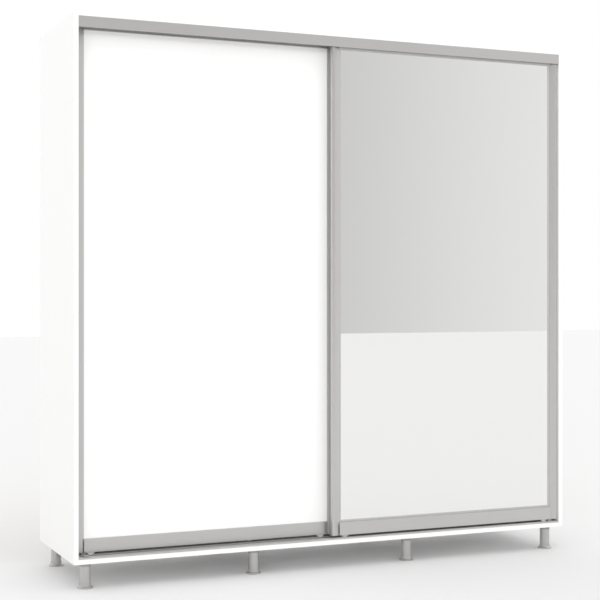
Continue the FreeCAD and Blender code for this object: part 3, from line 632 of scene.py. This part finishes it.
def finished_bottom_track():
    node = "bottom_track"
    low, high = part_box(node)
    deck = low.z + TRACK_WALL
    front_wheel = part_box("door_right_wheel_1")
    rear_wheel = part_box("door_left_wheel_1")
    ribs = [centre_of(b).y - low.y for b in (rear_wheel, front_wheel)]
    depth = high.y - low.y
    tip, crown = TRACK_WALL / 2 - HAIR, RIB_HALF - HAIR
    section = [(0, low.z, 0), (depth, low.z, 0), (depth, high.z, tip),
               (depth - TRACK_WALL, high.z, tip), (depth - TRACK_WALL, deck, 0)]
    for rib in ribs:
        section += [(rib + RIB_HALF, deck, 0), (rib + RIB_HALF, high.z, crown),
                    (rib - RIB_HALF, high.z, crown), (rib - RIB_HALF, deck, 0)]
    section += [(TRACK_WALL, deck, 0), (TRACK_WALL, high.z, tip), (0, high.z, tip)]
    finished_track(node, section)


# ------------------------------------------------------------------ pieces kept from the frame
def keep(nodes, material):
    """CAD nodes whose shape is right: they stay and get their material."""
    for node in nodes:
        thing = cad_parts[node]
        thing.data.materials.clear()
        thing.data.materials.append(material)


def keep_cad_pieces():
    feet = [f"foot_{row}_{i}" for row in ("front", "rear") for i in range(1, 5)]
    keep(feet + ["leg_tubes", "door_stops"], leg_grey)
    # Painted shade: the leg plates are dark grey to stand for the shadow under the bottom panel.
    keep(["leg_plates"], leg_plate_shade_grey)
    keep(["leg_screws", "track_screws", "back_nails", "shelf_pins", "cam_bolts",
          "door_left_frame_screws", "door_right_frame_screws"], zinc)
    keep(["cam_locks"], cam_zinc)
    keep(["hanging_rail_middle", "hanging_rail_right", "rail_sockets"], chrome)
    for door in ("door_left", "door_right"):
        keep([door + "_wheel_1", door + "_wheel_2"], nylon_white)
        keep([door + "_wheel_carriers", door + "_guide_shoes"], nylon_black)
        keep([door + "_brush_strips"], pile_grey)


# ------------------------------------------------------------------ studio
def make_floor():
    """A plain pale floor."""
    clear()
    bpy.ops.mesh.primitive_plane_add(size=FLOOR_SIZE, location=(0, 0, 0))
    floor = named("studio_floor")
    paint = grained("studio_floor_paint", FLOOR_WHITE, 0.02, 0.85, 0.95, 0.004, 0.0)
    floor.data.materials.append(paint)


def make_world():
    """A soft studio: a white wall behind the wardrobe, a dimmer room before it, brighter on its right."""
    world = bpy.data.worlds.new("studio")
    bpy.context.scene.world = world
    world.use_nodes = True
    tree = world.node_tree
    background = tree.nodes["Background"]
    place = add_node(tree, "TexCoord")
    split = add_node(tree, "SeparateXYZ", [("Vector", place.outputs["Generated"])])
    side = add_node(tree, "MapRange", [("Value", split.outputs["X"]), ("From Min", SIDE_FROM),
                                       ("From Max", SIDE_TO), ("To Min", WALL_LEFT),
                                       ("To Max", WALL_RIGHT)],
                    interpolation_type="SMOOTHSTEP")
    ceiling = add_node(tree, "MapRange", [("Value", split.outputs["Z"]), ("From Min", CEILING_FROM),
                                          ("From Max", CEILING_TO), ("To Max", CEILING)],
                       interpolation_type="SMOOTHSTEP")
    room = add_node(tree, "Math", [(0, side.outputs[0]), (1, ceiling.outputs[0])], operation="ADD")
    behind = add_node(tree, "MapRange", [("Value", split.outputs["Y"]), ("From Min", BEHIND_FROM),
                                         ("From Max", BEHIND_TO)],
                      interpolation_type="SMOOTHSTEP")
    walls = add_node(tree, "Mix", [(0, behind.outputs[0]), (2, room.outputs[0]), (3, WALL_BEHIND)])
    background.inputs["Color"].default_value = (1, 1, 1, 1)
    tree.links.new(walls.outputs[0], background.inputs["Strength"])


def soft_light(name, toward, strength):
    """Very soft light from far away, which lights the boards and stays out of mirror and metal."""
    data = bpy.data.lights.new(name, "SUN")
    data.energy, data.angle = strength, math.radians(LAMP_SPREAD)
    light = bpy.data.objects.new(name, data)
    bpy.context.collection.objects.link(light)
    light.rotation_euler = Vector(toward).to_track_quat("-Z", "Y").to_euler()
    light.visible_glossy = False


def make_lights():
    soft_light("front_lamp", FRONT_TOWARD, FRONT_LIGHT)
    soft_light("side_lamp", SIDE_TOWARD, SIDE_LIGHT)


def make_camera():
    """Level camera at eye height, turned to the right of square-on."""
    data = bpy.data.cameras.new("camera")
    data.sensor_width, data.lens = SENSOR, LENS
    data.shift_y = SHIFT_UP
    camera = bpy.data.objects.new("camera", data)
    bpy.context.collection.objects.link(camera)
    camera.location = EYE
    camera.rotation_euler = (math.pi / 2, 0, -math.radians(TURN))
    bpy.context.scene.camera = camera
    bpy.context.scene.view_settings.view_transform = "Standard"


make_camera()
make_world()
make_lights()
make_floor()
make_boards()
make_doors()
finished_top_track()
finished_bottom_track()
keep_cad_pieces()
